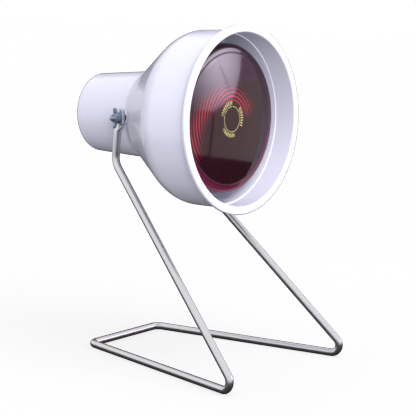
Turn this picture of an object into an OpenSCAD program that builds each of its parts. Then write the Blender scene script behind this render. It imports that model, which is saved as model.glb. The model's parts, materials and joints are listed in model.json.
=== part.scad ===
// Infrared heat therapy lamp: a round-mouthed reflector lamp in a moulded bell
// housing, hung by two wing nuts in a stand bent from one length of steel rod.
// Millimetres, +Z up, the mouth faces -Y, the tilt axis runs along X. The origin
// is the point of the floor straight below the middle of the tilt axis.

/* [Stand] */
// Diameter of the stand's steel rod
rod_d = 6; // [5:0.1:6.4]
// Height of the tilt axis above the floor
pivot_h = 196.8; // [185:0.1:230]
// Height of the knee, where the leg bends forward
knee_h = 159.3; // [150:0.1:163]
// Distance of the knee behind the tilt axis
knee_back = 5.6; // [3:0.1:9]
// Distance that each knee stands inside its eye
knee_inset = 2.1; // [0:0.1:2.4]
// Distance between the two front floor corners
front_span = 156.4; // [130:0.1:190]
// Distance of the front floor corners ahead of the tilt axis
front_reach = 155.7; // [135:0.1:190]
// Distance between the two rear floor corners
rear_span = 85.6; // [60:0.1:120]
// Distance of the rear floor bar behind the tilt axis
rear_reach = 26.7; // [20:0.1:60]
// Radius of the knee bend at the rod's centre line
knee_bend_r = 12; // [8:0.5:20]
// Radius of the floor corners at the rod's centre line
corner_bend_r = 7; // [5:0.5:10]

/* [Stand eyes] */
// Width of the flattened eye
eye_w = 9.5; // [8.5:0.1:9.8]
// Thickness of the flattened eye
eye_t = 3; // [2:0.1:4]
// Height of the eye above its hole
eye_top = 7.5; // [6:0.1:8]
// Length of the eye's full width below its hole
eye_drop = 5; // [4.5:0.1:6]
// Length over which the eye runs into the round rod
eye_taper = 6; // [4:0.1:9]
// Radius of the eye's upper corners
eye_corner_r = 3; // [1:0.1:4]

/* [Housing] */
// Pitch of the head above level, as it stands
head_pitch = 2.1; // [-8:0.1:20]
// Distance from the tilt axis to the neck's rear face
neck_reach = 57; // [55:0.1:64]
// Distance from the tilt axis forward to where the bell begins
throat_ahead = 1.2; // [0.5:0.1:4]
// Distance from the tilt axis to the front face of the lip
mouth_ahead = 95.9; // [93:0.1:110]
// Diameter of the neck at its rear
neck_rear_d = 66; // [65:0.1:70]
// Diameter of the neck where the bell begins
neck_front_d = 72.6; // [71.6:0.1:73.6]
// Angle of the bell's cone from the head's axis
cone_angle = 35.5; // [33:0.1:36]
// Diameter of the bell just behind the lip
bell_d = 143.2; // [142.8:0.1:148]
// Draft of the bell's cylindrical front
bell_draft = 1; // [0.5:0.1:1.5]
// Wall thickness of the moulding
wall = 2.8; // [2:0.1:3]
// Radius of the hollow between neck and bell
throat_r = 8; // [4:0.5:14]
// Radius of the shoulder between cone and front
shoulder_r = 24; // [14:0.5:30]
// Diameter of the lip
lip_d = 152; // [149:0.1:160]
// Diameter of the mouth inside the lip
mouth_d = 139; // [136:0.1:140]
// Thickness of the lip
lip_t = 3; // [2.5:0.1:5]
// Radius of the lip's edges
lip_edge_r = 1.2; // [0.5:0.1:1.2]
// Distance of the step inside the mouth behind the lip's front face
step_back = 18.8; // [17:0.1:24]
// Radius of the neck's rear edge
rear_edge_r = 2.5; // [1:0.1:3]

/* [Pivots] */
// Diameter of the pivot bolts
bolt_d = 4; // [3:0.1:5]
// Height of each pivot boss above the neck
boss_h = 3.2; // [2.4:0.1:4]
// Diameter of the pivot bosses
boss_d = 11; // [10:0.1:13]
// Diameter of the friction washers
friction_d = 9.5; // [9:0.1:9.8]
// Thickness of the friction washers
friction_t = 1.2; // [0.8:0.1:2]
// Diameter of the plain washers
washer_d = 9; // [8.6:0.1:12]
// Thickness of the plain washers
washer_t = 0.8; // [0.5:0.1:1.5]
// Length of bolt beyond the stand's eye
bolt_tail = 9; // [8:0.1:14]
// Height of the wing nut's body
nut_h = 5.6; // [4:0.1:7]
// Diameter of the wing nut's body where it meets the washer
nut_d = 8.2; // [7:0.1:8.5]
// Span of the wing nut over its wings
nut_span = 17; // [14:0.5:22]
// Thickness of the wings
wing_t = 2.2; // [1.6:0.1:3]

/* [Lamp] */
// Diameter of the lamp's face
lamp_d = 121.2; // [116:0.1:124]
// Length of the lamp from the crown of its face to its contact
lamp_len = 123; // [121:0.1:124]
// Distance from the lip's front face back to the crown of the lamp
lens_recess = 12.6; // [11.4:0.1:13.8]
// Height of the face's crown above its edge, dome and rounded shoulder together
lens_crown = 7.6; // [5.5:0.1:9]
// Height of the face's shallow dome alone
lens_dome = 3; // [2:0.1:4.5]
// Height of the face's straight edge
lens_edge = 2.6; // [2:0.1:4]
// Thickness of the lamp's glass
glass_t = 2.6; // [2:0.1:3.2]
// Distance between neighbouring rings moulded into the glass
ring_pitch = 3.2; // [2.6:0.1:4.5]
// Height of the moulded rings
ring_h = 0.5; // [0.2:0.1:0.8]
// Diameter of the plain disc inside the rings
ring_start_d = 34; // [24:1:44]
// Diameter of the screw cap over its thread
cap_d = 26.2; // [25.6:0.1:26.6]
// Length of the screw cap
cap_len = 25; // [22:0.1:27]

/* [Lampholder] */
// Diameter of the ceramic body
holder_d = 40; // [36:0.1:42]
// Thickness of the ceramic floor under the contact
holder_floor = 6; // [5:0.1:6.5]
// Length of the ceramic body
holder_len = 34; // [30:0.1:37]
// Width of the bracket strap
strap_w = 14; // [12:0.1:16]
// Thickness of the bracket strap
strap_t = 1.5; // [1:0.1:1.6]
// Distance between the outer faces of the strap's two arms
strap_span = 59; // [54:0.1:59.4]
// Distance between the two screws that hold the ceramic body
strap_screw_span = 20; // [18:0.1:24]

/* [Rear cover] */
// Thickness of the rear cover
cover_t = 2; // [1.5:0.1:2.4]
// Depth of the rear cover below the neck's rear face
cover_recess = 0.5; // [0.2:0.1:1]
// Width of the ledge that the cover rests on
ledge_w = 1.8; // [1.2:0.1:3]
// Number of vent slots
vent_count = 12; // [6:1:14]
// Width of a vent slot
vent_w = 3; // [2:0.1:3.4]
// Diameter at which the vent slots begin
vent_start_d = 26; // [24:0.5:30]
// Diameter at which the vent slots end
vent_end_d = 42; // [34:0.5:43]
// Diameter of the hole in the cable bush
cord_d = 6.8; // [5:0.1:8]
// Diameter of the bush where it passes the cover
bush_d = 11.8; // [10.6:0.1:13]
// Diameter of the bush's outer flange
bush_flange_d = 17; // [15:0.1:20]

/* [Hidden] */
$fn = 64;

// Clearances
pin_clear = 0.05;        // radius of a hole over the pin that turns in it
hole_clear = 0.15;       // radius of a fixed screw's hole over the screw
thread_clear = 0.25;     // screw cap inside the lampholder's sleeve
seat_clear = 0.1;        // a piece that drops into a recess, all round
bend_swell = 0.01;       // a bend stands this proud of the straight rod
bend_lap = 0.05;         // a bend reaches this far over each straight

// Colours
shell_white = [0.93, 0.93, 0.95];
steel = [0.72, 0.73, 0.75];
zinc = [0.60, 0.66, 0.74];
brass = [0.80, 0.66, 0.35];
porcelain = [0.95, 0.94, 0.90];
rubber_black = [0.12, 0.12, 0.13];
ruby = [0.35, 0.03, 0.06];
mirror_glass = [0.78, 0.78, 0.80];

// Straight lines of the head's section, each [slope, radius at the tilt axis]
function line_through(s, r, slope) = [slope, r - slope * s];
function on_line(l, s) = l[1] + l[0] * s;
function inset_line(l, t) = [l[0], l[1] - t * sqrt(1 + l[0] * l[0])];
function meet(a, b) = (b[1] - a[1]) / (a[0] - b[0]);
function corner(a, b, r) = [on_line(a, meet(a, b)), meet(a, b), r];

neck_slope = (neck_front_d - neck_rear_d) / 2 / (throat_ahead + neck_reach);
neck_out = line_through(-neck_reach, neck_rear_d / 2, neck_slope);
cone_out = line_through(throat_ahead, neck_front_d / 2, tan(cone_angle));
lip_back = mouth_ahead - lip_t;
front_out = line_through(lip_back, bell_d / 2, tan(bell_draft));
neck_in = inset_line(neck_out, wall);
cone_in = inset_line(cone_out, wall);
front_in = inset_line(front_out, wall);
step_s = mouth_ahead - step_back;

// Pivot stack, outward along X
boss_face = round(10 * (on_line(neck_out, 0) + boss_h)) / 10;
eye_in = boss_face + friction_t;
eye_x = eye_in + eye_t / 2;
eye_out = eye_in + eye_t;
nut_base = eye_out + washer_t;
bolt_end = eye_out + bolt_tail;
strap_out = strap_span / 2;
bolt_head_h = 2.8;
bolt_flats = 7;

// Lamp, along the head's axis from the tilt axis, forward positive
crown_s = mouth_ahead - lens_recess;
edge_s = crown_s - lens_crown;
seam_s = edge_s - lens_edge;
tip_s = crown_s - lamp_len;
tip_h = 1.2;
insulator_h = 3.6;
cap_s = tip_s + tip_h + insulator_h;
cap_top_s = cap_s + cap_len;
cap_r = cap_d / 2;
cap_t = 0.6;
bowl_base_s = cap_top_s + 18;
bowl_base_r = 21;
glass_floor_s = cap_top_s + 3.4;
focus_s = bowl_base_s + 3;
face_r = (pow(lamp_d / 2, 2) + pow(lens_dome, 2)) / (2 * lens_dome);
face_shoulder_r = lens_crown - lens_dome;
post_r = 0.6;
post_x = 9;
filament_r = 0.9;

// Lampholder
contact_h = 1.4;
holder_floor_s = tip_s - contact_h;
holder_base_s = holder_floor_s - holder_floor;
sleeve_t = 0.4;
sleeve_in = cap_r + thread_clear;
sleeve_out = sleeve_in + sleeve_t;
strap_base_s = holder_base_s - strap_t;
holder_screw_r = 2;
holder_screw_head_r = 3.4;
terminal_y = 13;
terminal_pocket = 2.5;
terminal_screw_r = 1.5;
terminal_screw_head_r = 2.8;
plate_w = 8.4;
plate_l = 7.4;
plate_t = 1;
contact_w = 5;
contact_l = 20;
contact_t = 0.6;
contact_r = 3.5;
screw_head_h = 1.8;

// Rear cover
cover_out_s = -neck_reach + cover_recess;
cover_in_s = cover_out_s + cover_t;
cover_r = on_line(neck_out, -neck_reach) - wall - 0.7;
ledge_r = cover_r - ledge_w;
ledge_t = 1.8;
cover_boss_r = 3.2;
cover_boss_y = ledge_r - cover_boss_r + 0.8;
cover_boss_len = 8;
cover_screw_r = 1.45;
cover_screw_head_r = 2.75;
bush_out_t = 3;
bush_in_t = 2;
bush_out_s = cover_out_s - bush_out_t;
bush_in_s = cover_in_s + bush_in_t;

// Rod's centre line, from the left eye round the floor to the right one
eye_low_h = pivot_h - eye_drop - eye_taper;
eye_low_y = knee_back * (pivot_h - eye_low_h) / (pivot_h - knee_h);
rod_path = [
    [-eye_x, eye_low_y, eye_low_h],
    [-eye_x + knee_inset, knee_back, knee_h],
    [-front_span / 2, -front_reach, rod_d / 2],
    [-rear_span / 2, rear_reach, rod_d / 2],
    [rear_span / 2, rear_reach, rod_d / 2],
    [front_span / 2, -front_reach, rod_d / 2],
    [eye_x - knee_inset, knee_back, knee_h],
    [eye_x, eye_low_y, eye_low_h]
];
rod_bends = [
    0, knee_bend_r, corner_bend_r, corner_bend_r,
    corner_bend_r, corner_bend_r, knee_bend_r, 0
];

// Points of an arc in the plane, from angle a0 to a1
function arc(cx, cy, r, a0, a1, n) =
    [for (i = [0:n]) [cx + r * cos(a0 + (a1 - a0) * i / n), cy + r * sin(a0 + (a1 - a0) * i / n)]];

// A corner b between a and c, rounded with radius r
function unit(v) = v / norm(v);
function turn(u, v) = acos(max(-1, min(1, u * v)));
function rounded_corner(a, b, c, r, n) =
    let(u = unit(a - b), v = unit(c - b), half = turn(u, v) / 2)
    let(mid = b + unit(u + v) * r / sin(half), p = b + u * r / tan(half))
    let(start = atan2(p[1] - mid[1], p[0] - mid[0]), side = u[0] * v[1] - u[1] * v[0])
    arc(mid[0], mid[1], r, start, start + (side > 0 ? -1 : 1) * (180 - 2 * half), n);

// Outline from corners [radius, place, rounding]
function outline(c) = [
    for (i = [0:len(c) - 1])
        let(a = c[(i + len(c) - 1) % len(c)], b = c[i], d = c[(i + 1) % len(c)])
        each b[2] > 0
            ? rounded_corner([a[0], a[1]], [b[0], b[1]], [d[0], d[1]], b[2], b[2] > 5 ? 12 : 5)
            : [[b[0], b[1]]]
];

// Head's own frame: +Z forward along the axis, +Y up, X along the bolts
module on_head() {
    translate([0, 0, pivot_h]) rotate([90 - head_pitch, 0, 0]) children();
}

module turned(points) {
    rotate_extrude() polygon(points);
}

// Lies along +X from x0 to x1 in the head's frame
module rod_x(x0, x1, r) {
    translate([x0, 0, 0]) rotate([0, 90, 0]) cylinder(h = x1 - x0, r = r);
}

// A pan head with a slot, from z = 0 down to z = -h
module pan_head(r, h) {
    difference() {
        rotate_extrude() polygon(concat([[0, 0]], [[r, 0]], arc(r - 0.7 * h, -0.3 * h, 0.7 * h, 0, -90, 5), [[0, -h]]));
        translate([-r, -0.4, -h - 1]) cube([2 * r, 0.8, 1 + 0.45 * h]);
    }
}

// Stand

// Length that a bend takes from each straight it joins
function bend_trim(i) =
    rod_bends[i] == 0 ? 0 : rod_bends[i] * tan(turn(way(i - 1), way(i)) / 2);
function way(i) = unit(rod_path[i + 1] - rod_path[i]);

module rod_straight(i) {
    w = way(i);
    a = rod_path[i] + w * bend_trim(i);
    b = rod_path[i + 1] - w * bend_trim(i + 1);
    translate(a) rotate([0, acos(w[2]), atan2(w[1], w[0])]) cylinder(h = norm(b - a), d = rod_d);
}

module rod_bend(i) {
    w = way(i - 1);
    r = rod_bends[i];
    inward = unit(way(i) - w * (way(i) * w));
    axle = cross(w, inward);
    mid = rod_path[i] - w * bend_trim(i) + inward * r;
    lap = bend_lap / r * 180 / PI;
    multmatrix([
        [-inward[0], w[0], axle[0], mid[0]],
        [-inward[1], w[1], axle[1], mid[1]],
        [-inward[2], w[2], axle[2], mid[2]]
    ]) rotate([0, 0, -lap]) rotate_extrude(angle = turn(w, way(i)) + 2 * lap)
        translate([r, 0]) circle(d = rod_d + 2 * bend_swell);
}

// One flattened end, its hole on the tilt axis; side is -1 left, 1 right
module stand_eye(side) {
    first = side < 0 ? rod_path[0] : rod_path[7];
    second = side < 0 ? rod_path[1] : rod_path[6];
    down = unit(second - first);
    inner = eye_w / 2 - eye_corner_r;
    difference() {
        translate([side * eye_x - eye_t / 2, 0, pivot_h]) rotate([90, 0, 90]) linear_extrude(eye_t) {
            translate([-eye_w / 2, -eye_drop]) square([eye_w, eye_drop + eye_top - eye_corner_r]);
            translate([-inner, -eye_drop]) square([2 * inner, eye_drop + eye_top]);
            for (s = [-1, 1]) translate([s * inner, eye_top - eye_corner_r]) circle(eye_corner_r);
        }
        translate([side * eye_x - eye_t, 0, pivot_h]) rotate([0, 90, 0])
            cylinder(h = 2 * eye_t, r = bolt_d / 2 + pin_clear);
    }
    hull() {
        translate([side * eye_x - eye_t / 2, -eye_w / 2, pivot_h - eye_drop]) cube([eye_t, eye_w, 0.01]);
        translate(first + down * 0.5) rotate([0, acos(down[2]), atan2(down[1], down[0])])
            cylinder(h = 0.01, r = 0.495 * rod_d, $fn = 32);
    }
}

module stand_frame() {
    color(steel) {
        for (i = [0:6]) rod_straight(i);
        for (i = [1:6]) rod_bend(i);
        for (side = [-1, 1]) stand_eye(side);
    }
}

// Housing

function shell_section() = outline([
    [cover_r + seat_clear, -neck_reach, 0],
    [neck_rear_d / 2, -neck_reach, rear_edge_r],
    corner(neck_out, cone_out, throat_r),
    corner(cone_out, front_out, shoulder_r),
    [bell_d / 2, lip_back, 0],
    [lip_d / 2, lip_back, lip_edge_r],
    [lip_d / 2, mouth_ahead, lip_edge_r],
    [mouth_d / 2, mouth_ahead, lip_edge_r],
    [mouth_d / 2 - 0.3, step_s, 0],
    [on_line(front_in, step_s), step_s, 0],
    corner(cone_in, front_in, shoulder_r - wall),
    corner(neck_in, cone_in, throat_r + wall),
    [on_line(neck_in, cover_in_s + ledge_t), cover_in_s + ledge_t, 0],
    [ledge_r, cover_in_s + ledge_t, 0],
    [ledge_r, cover_in_s, 0],
    [cover_r + seat_clear, cover_in_s, 0]
]);

module housing_shell() {
    boss_len = boss_face - strap_out;
    color(shell_white) on_head() difference() {
        union() {
            turned(shell_section());
            for (side = [0, 180]) rotate([0, 0, side]) rod_x(strap_out, boss_face, boss_d / 2);
            for (side = [-1, 1]) translate([0, side * cover_boss_y, cover_in_s]) {
                cylinder(h = cover_boss_len, r = cover_boss_r);
                translate([-1, side > 0 ? 0 : -cover_boss_r - 1.2, ledge_t])
                    cube([2, cover_boss_r + 1.2, cover_boss_len - ledge_t - 1]);
            }
        }
        for (side = [0, 180]) rotate([0, 0, side])
            rod_x(strap_out - 1, strap_out + boss_len + 1, bolt_d / 2 + hole_clear);
        for (side = [-1, 1]) translate([0, side * cover_boss_y, cover_in_s - 1])
            cylinder(h = cover_boss_len, r = cover_screw_r + pin_clear);
    }
}

module vent_slot() {
    translate([0, vent_start_d / 2 + vent_w / 2, 0]) cylinder(h = 3 * cover_t, r = vent_w / 2);
    translate([0, vent_end_d / 2 - vent_w / 2, 0]) cylinder(h = 3 * cover_t, r = vent_w / 2);
    translate([-vent_w / 2, vent_start_d / 2 + vent_w / 2, 0])
        cube([vent_w, (vent_end_d - vent_start_d) / 2 - vent_w, 3 * cover_t]);
}

module rear_cover() {
    color(shell_white) on_head() difference() {
        union() {
            translate([0, 0, cover_out_s]) cylinder(h = cover_t, r = cover_r);
            translate([0, 0, cover_out_s]) difference() {
                cylinder(h = cover_t + ledge_t, r = ledge_r - seat_clear);
                cylinder(h = cover_t + ledge_t + 1, r = ledge_r - seat_clear - 1.6);
                for (side = [-1, 1]) translate([0, side * cover_boss_y, cover_t])
                    cylinder(h = ledge_t + 1, r = cover_boss_r + seat_clear);
            }
        }
        translate([0, 0, cover_out_s - 1]) {
            cylinder(h = cover_t + 2, r = bush_d / 2 + seat_clear);
            for (side = [-1, 1]) translate([0, side * cover_boss_y, 0])
                cylinder(h = cover_t + 2, r = cover_screw_r + hole_clear);
            for (i = [0:vent_count - 1]) rotate([0, 0, (i + 0.5) * 360 / vent_count]) vent_slot();
        }
    }
}

module cover_screws() {
    color(zinc) on_head() for (side = [-1, 1]) translate([0, side * cover_boss_y, cover_out_s]) {
        pan_head(cover_screw_head_r, screw_head_h);
        cylinder(h = cover_t + cover_boss_len - 2, r = cover_screw_r);
    }
}

module cable_bush() {
    bush_r = bush_d / 2;
    color(rubber_black) on_head() turned(outline([
        [cord_d / 2, bush_out_s, 0.6],
        [bush_r + 0.6, bush_out_s, 1],
        [bush_flange_d / 2, cover_out_s - 1, 0.8],
        [bush_flange_d / 2, cover_out_s, 0],
        [bush_r, cover_out_s, 0],
        [bush_r, cover_in_s, 0],
        [bush_r + 1.4, cover_in_s, 0],
        [bush_r + 1.4, bush_in_s, 0.8],
        [cord_d / 2, bush_in_s, 0.6]
    ]));
}

// Lampholder

module holder_bracket() {
    color(zinc) on_head() difference() {
        union() {
            translate([0, strap_w / 2, 0]) rotate([90, 0, 0]) linear_extrude(strap_w) polygon(outline([
                [strap_out, 0, 0],
                [strap_out - strap_t, 0, 0],
                [strap_out - strap_t, holder_base_s, 1],
                [-strap_out + strap_t, holder_base_s, 1],
                [-strap_out + strap_t, 0, 0],
                [-strap_out, 0, 0],
                [-strap_out, strap_base_s, 1 + strap_t],
                [strap_out, strap_base_s, 1 + strap_t]
            ]));
            for (side = [0, 180]) rotate([0, 0, side]) rod_x(strap_out - strap_t, strap_out, strap_w / 2);
        }
        for (side = [0, 180]) rotate([0, 0, side])
            rod_x(strap_out - strap_t - 1, strap_out + 1, bolt_d / 2 + hole_clear);
        for (side = [-1, 1]) translate([side * strap_screw_span / 2, 0, strap_base_s - 1])
            cylinder(h = strap_t + 2, r = holder_screw_r + hole_clear);
    }
}

module bracket_screws() {
    color(zinc) on_head() for (side = [-1, 1]) translate([side * strap_screw_span / 2, 0, strap_base_s]) {
        pan_head(holder_screw_head_r, screw_head_h);
        cylinder(h = strap_t + holder_floor - 1, r = holder_screw_r - pin_clear);
    }
}

module lampholder_body() {
    pocket_w = plate_w + 6 * seat_clear;
    pocket_l = plate_l + 6 * seat_clear;
    color(porcelain) on_head() difference() {
        turned(outline([
            [0, holder_base_s, 0],
            [holder_d / 2, holder_base_s, 1.5],
            [holder_d / 2, holder_base_s + 0.45 * holder_len, 0],
            [holder_d / 2 - 1.5, holder_base_s + 0.45 * holder_len + 1.5, 0],
            [holder_d / 2 - 1.5, holder_base_s + holder_len, 1.5],
            [sleeve_out + seat_clear, holder_base_s + holder_len, 1],
            [sleeve_out + seat_clear, holder_floor_s, 0],
            [0, holder_floor_s, 0]
        ]));
        for (side = [-1, 1]) {
            translate([side * strap_screw_span / 2, 0, holder_base_s - 1])
                cylinder(h = holder_floor, r = holder_screw_r);
            translate([-pocket_w / 2, side * terminal_y - pocket_l / 2, holder_base_s - 1])
                cube([pocket_w, pocket_l, 1 + terminal_pocket]);
            translate([0, side * terminal_y, holder_base_s])
                cylinder(h = holder_floor - 1, r = terminal_screw_r + seat_clear);
        }
    }
}

module lampholder_sleeve() {
    color(brass) on_head() translate([0, 0, holder_floor_s]) difference() {
        cylinder(h = holder_len - holder_floor - 1.5, r = sleeve_out);
        translate([0, 0, -1]) cylinder(h = holder_len, r = sleeve_in);
    }
}

module centre_contact() {
    color(brass) on_head() translate([0, 0, holder_floor_s]) {
        translate([-contact_w / 2, -contact_l / 2, 0]) cube([contact_w, contact_l, contact_t]);
        cylinder(h = contact_h, r = contact_r);
    }
}

module terminal_plates() {
    color(brass) on_head() for (side = [-1, 1])
        translate([0, side * terminal_y, holder_base_s + terminal_pocket - plate_t]) difference() {
            translate([-plate_w / 2, -plate_l / 2, 0]) cube([plate_w, plate_l, plate_t]);
            translate([0, 0, -1]) cylinder(h = plate_t + 2, r = terminal_screw_r + hole_clear);
        }
}

module terminal_screws() {
    plate_s = holder_base_s + terminal_pocket - plate_t;
    color(brass) on_head() for (side = [-1, 1]) translate([0, side * terminal_y, plate_s]) {
        pan_head(terminal_screw_head_r, screw_head_h);
        cylinder(h = plate_t + holder_floor - terminal_pocket - 1.5, r = terminal_screw_r);
    }
}

// Pivots; side is 1 right, -1 left

module on_side(side) {
    on_head() rotate([0, side > 0 ? 0 : 180, 0]) children();
}

module ring_x(x0, t, r_out, r_in) {
    difference() {
        rod_x(x0, x0 + t, r_out);
        rod_x(x0 - 1, x0 + t + 1, r_in);
    }
}

module pivot_bolt(side) {
    head_x = strap_out - strap_t - bolt_head_h;
    color(zinc) on_side(side) {
        rod_x(strap_out - strap_t, bolt_end, bolt_d / 2);
        translate([head_x, 0, 0]) rotate([0, 90, 0]) cylinder(h = bolt_head_h, d = bolt_flats / cos(30), $fn = 6);
    }
}

module friction_washer(side) {
    color(rubber_black) on_side(side) ring_x(boss_face, friction_t, friction_d / 2, bolt_d / 2 + hole_clear);
}

module plain_washer(side) {
    color(zinc) on_side(side) ring_x(eye_out, washer_t, washer_d / 2, bolt_d / 2 + hole_clear);
}

module wing_nut(side) {
    tip_r = 1.6;
    root = nut_d / 2 - 1.4;
    color(zinc) on_side(side) translate([nut_base, 0, 0]) difference() {
        union() {
            rotate([0, 90, 0]) cylinder(h = nut_h, r1 = nut_d / 2, r2 = nut_d / 2 - 0.8);
            for (w = [-1, 1]) scale_y(w) translate([0, 0, -wing_t / 2]) linear_extrude(wing_t) hull() {
                translate([1.8, root]) circle(0.9, $fn = 32);
                translate([nut_h - 1.2, root]) circle(0.9, $fn = 32);
                translate([nut_h + 0.6, nut_span / 2 - tip_r]) circle(tip_r, $fn = 32);
            }
        }
        rod_x(-1, nut_h + 3, bolt_d / 2 + pin_clear);
    }
}

module scale_y(w) {
    rotate([w > 0 ? 0 : 180, 0, 0]) children();
}

// Lamp

// Ripple of the moulded rings: none inside the plain disc and near the edge
function ring_rise(r) =
    r < ring_start_d / 2 || r > ring_end_r() ? 0
    : ring_h * (1 - cos(360 * (r - ring_start_d / 2) / ring_pitch)) / 2;
function ring_end_r() =
    ring_start_d / 2 + ring_pitch * floor((lamp_d / 2 - 7 - ring_start_d / 2) / ring_pitch);
function face_s(r) = crown_s - face_r + sqrt(face_r * face_r - r * r);

module lamp_lens() {
    rim_r = lamp_d / 2;
    dome_end = rim_r - face_shoulder_r - 1;
    dome_steps = 20;
    ripple_step = ring_pitch / 6;
    inner_end = rim_r - glass_t - 1;
    color(ruby) on_head() turned(concat(
        [[0, crown_s]],
        [for (i = [1:dome_steps]) let(r = dome_end * i / dome_steps) [r, face_s(r)]],
        rounded_corner([dome_end, face_s(dome_end)], [rim_r, face_s(rim_r)], [rim_r, seam_s], face_shoulder_r, 8),
        [[rim_r, seam_s], [inner_end, seam_s]],
        [for (r = [inner_end - 1:-ripple_step:0.5]) [r, face_s(r) - glass_t - ring_rise(r)]],
        [[0, crown_s - glass_t]]
    ));
}

// Radius of the reflector bowl: a parabola from its base to the seam
function bowl_r(s) =
    let(rim = lamp_d / 2 - 0.6, k = (rim * rim - bowl_base_r * bowl_base_r) / (seam_s - 3 - bowl_base_s))
    sqrt(bowl_base_r * bowl_base_r + k * (s - bowl_base_s));

module lamp_reflector() {
    rim_r = lamp_d / 2;
    steps = 16;
    neck_r = cap_r - cap_t - seat_clear;
    rim_s = seam_s - 3;
    color(mirror_glass) on_head() turned(concat(
        [[0, cap_top_s - 6], [neck_r, cap_top_s - 6], [neck_r, cap_top_s + 0.6]],
        [[neck_r + 2.4, cap_top_s + 3], [bowl_base_r - 2.6, cap_top_s + 11]],
        [for (i = [0:steps]) let(s = bowl_base_s + (rim_s - bowl_base_s) * i / steps) [bowl_r(s), s]],
        [[rim_r, rim_s + 0.8], [rim_r, seam_s], [rim_r - glass_t - 1, seam_s]],
        [for (i = [steps:-1:0]) let(s = bowl_base_s + (rim_s - bowl_base_s) * i / steps)
            [bowl_r(s) - 1.25 * glass_t, s]],
        [[bowl_base_r - 2.6 - glass_t, cap_top_s + 11], [neck_r + 2.4 - glass_t, glass_floor_s]],
        [[0, glass_floor_s]]
    ));
}

module lamp_cap() {
    inner = cap_r - cap_t;
    color(brass) on_head() turned(outline([
        [7, cap_s, 0],
        [cap_r - 1.6, cap_s, 1.5],
        [cap_r, cap_s + 3.2, 1.5],
        [cap_r, cap_top_s, 0],
        [inner, cap_top_s, 0],
        [inner, cap_s + 3.4, 1],
        [inner - 1.6, cap_s + cap_t, 1],
        [7, cap_s + cap_t, 0]
    ]));
}

module cap_insulator() {
    color(rubber_black) on_head() turned([
        [0, cap_s - insulator_h], [5.6, cap_s - insulator_h], [6.4, cap_s - insulator_h + 1],
        [cap_r - 2.8, cap_s], [0, cap_s]
    ]);
}

module cap_contact() {
    color(steel) on_head() turned(concat(
        [[0, tip_s]], [[3.4, tip_s]], arc(3.8, tip_s + 0.9, 0.9, -90, 0, 5), [[4.7, tip_s + tip_h]], [[0, tip_s + tip_h]]
    ));
}

module filament() {
    color(steel) on_head() translate([0, 0, focus_s]) rod_x(-post_x + post_r, post_x - post_r, filament_r);
}

module filament_posts() {
    color(steel) on_head() for (side = [-1, 1]) translate([side * post_x, 0, glass_floor_s])
        cylinder(h = focus_s - glass_floor_s + 1.5, r = post_r);
}

stand_frame();
housing_shell();
rear_cover();
cover_screws();
cable_bush();
holder_bracket();
bracket_screws();
lampholder_body();
lampholder_sleeve();
centre_contact();
terminal_plates();
terminal_screws();
pivot_bolt(-1);  // pivot_bolt_left
pivot_bolt(1);  // pivot_bolt_right
friction_washer(-1);  // friction_washer_left
friction_washer(1);  // friction_washer_right
plain_washer(-1);  // plain_washer_left
plain_washer(1);  // plain_washer_right
wing_nut(-1);  // wing_nut_left
wing_nut(1);  // wing_nut_right
lamp_lens();
lamp_reflector();
lamp_cap();
cap_insulator();
cap_contact();
filament();
filament_posts();
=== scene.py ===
"""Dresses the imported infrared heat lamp: its white bell housing, the ruby face of its lamp, the bent rod
stand and the wing nuts of its pivots, with the studio it stands in. Metres, +Z up, the mouth faces -Y."""

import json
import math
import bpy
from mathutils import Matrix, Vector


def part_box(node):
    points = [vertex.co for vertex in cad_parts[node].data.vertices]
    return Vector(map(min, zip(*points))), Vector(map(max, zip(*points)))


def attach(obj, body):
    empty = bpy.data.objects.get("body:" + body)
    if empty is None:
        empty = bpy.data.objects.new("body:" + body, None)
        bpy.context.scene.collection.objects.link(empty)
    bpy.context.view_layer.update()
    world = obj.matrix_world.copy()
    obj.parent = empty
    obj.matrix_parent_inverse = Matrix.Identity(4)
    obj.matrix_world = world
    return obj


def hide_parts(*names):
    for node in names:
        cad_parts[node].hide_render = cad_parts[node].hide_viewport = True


bl_info = {
    "name": "Infrared heat lamp",
    "version": (1, 0, 0),
    "blender": (4, 5, 0),
    "location": "3D View > Sidebar > Heat Lamp",
    "description": "Builds the surfaces, finishes and studio of an infrared heat therapy lamp",
    "category": "Add Mesh",
}

import bmesh
import bpy
import numpy as np
from bpy.props import FloatProperty, FloatVectorProperty, IntProperty, PointerProperty
from mathutils import Matrix, Vector

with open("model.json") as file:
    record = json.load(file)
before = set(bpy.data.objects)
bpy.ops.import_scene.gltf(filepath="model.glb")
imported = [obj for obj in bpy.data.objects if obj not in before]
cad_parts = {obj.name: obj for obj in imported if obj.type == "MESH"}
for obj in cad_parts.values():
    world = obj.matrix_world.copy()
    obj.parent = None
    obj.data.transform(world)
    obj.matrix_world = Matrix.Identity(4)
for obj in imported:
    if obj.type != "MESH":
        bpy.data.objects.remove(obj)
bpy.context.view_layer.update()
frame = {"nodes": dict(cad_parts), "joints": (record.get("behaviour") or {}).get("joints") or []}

MM = 0.001
JOINTS = {joint["name"]: joint for joint in frame["joints"]}
PIVOT = np.array(JOINTS["head_tilt"]["pos_m"])
FORWARD = np.array(JOINTS["lamp_travel"]["axis"]) / np.linalg.norm(JOINTS["lamp_travel"]["axis"])
SIDEWAYS = np.array([1.0, 0.0, 0.0])
UPWARD = np.cross(FORWARD, SIDEWAYS)
TURNS = 2 * math.pi


def half_width(node):
    """Outer half width of a CAD node along X, for the pieces that come in a left and right pair."""
    low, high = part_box(node)
    return max(abs(low.x), abs(high.x))


def inner_width(node):
    """Inner face of a CAD node of the right-hand side, measured along X."""
    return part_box(node)[0].x


def on_axis(node, end):
    """Place along the head's axis of a node's rear (end 0) or front (end 1) face, ahead of the tilt axis."""
    vertices = np.array([v.co for v in frame["nodes"][node].data.vertices])
    along = (vertices - PIVOT) @ FORWARD
    return float(along.max() if end else along.min())


# ---------------------------------------------------------------- settings


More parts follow.
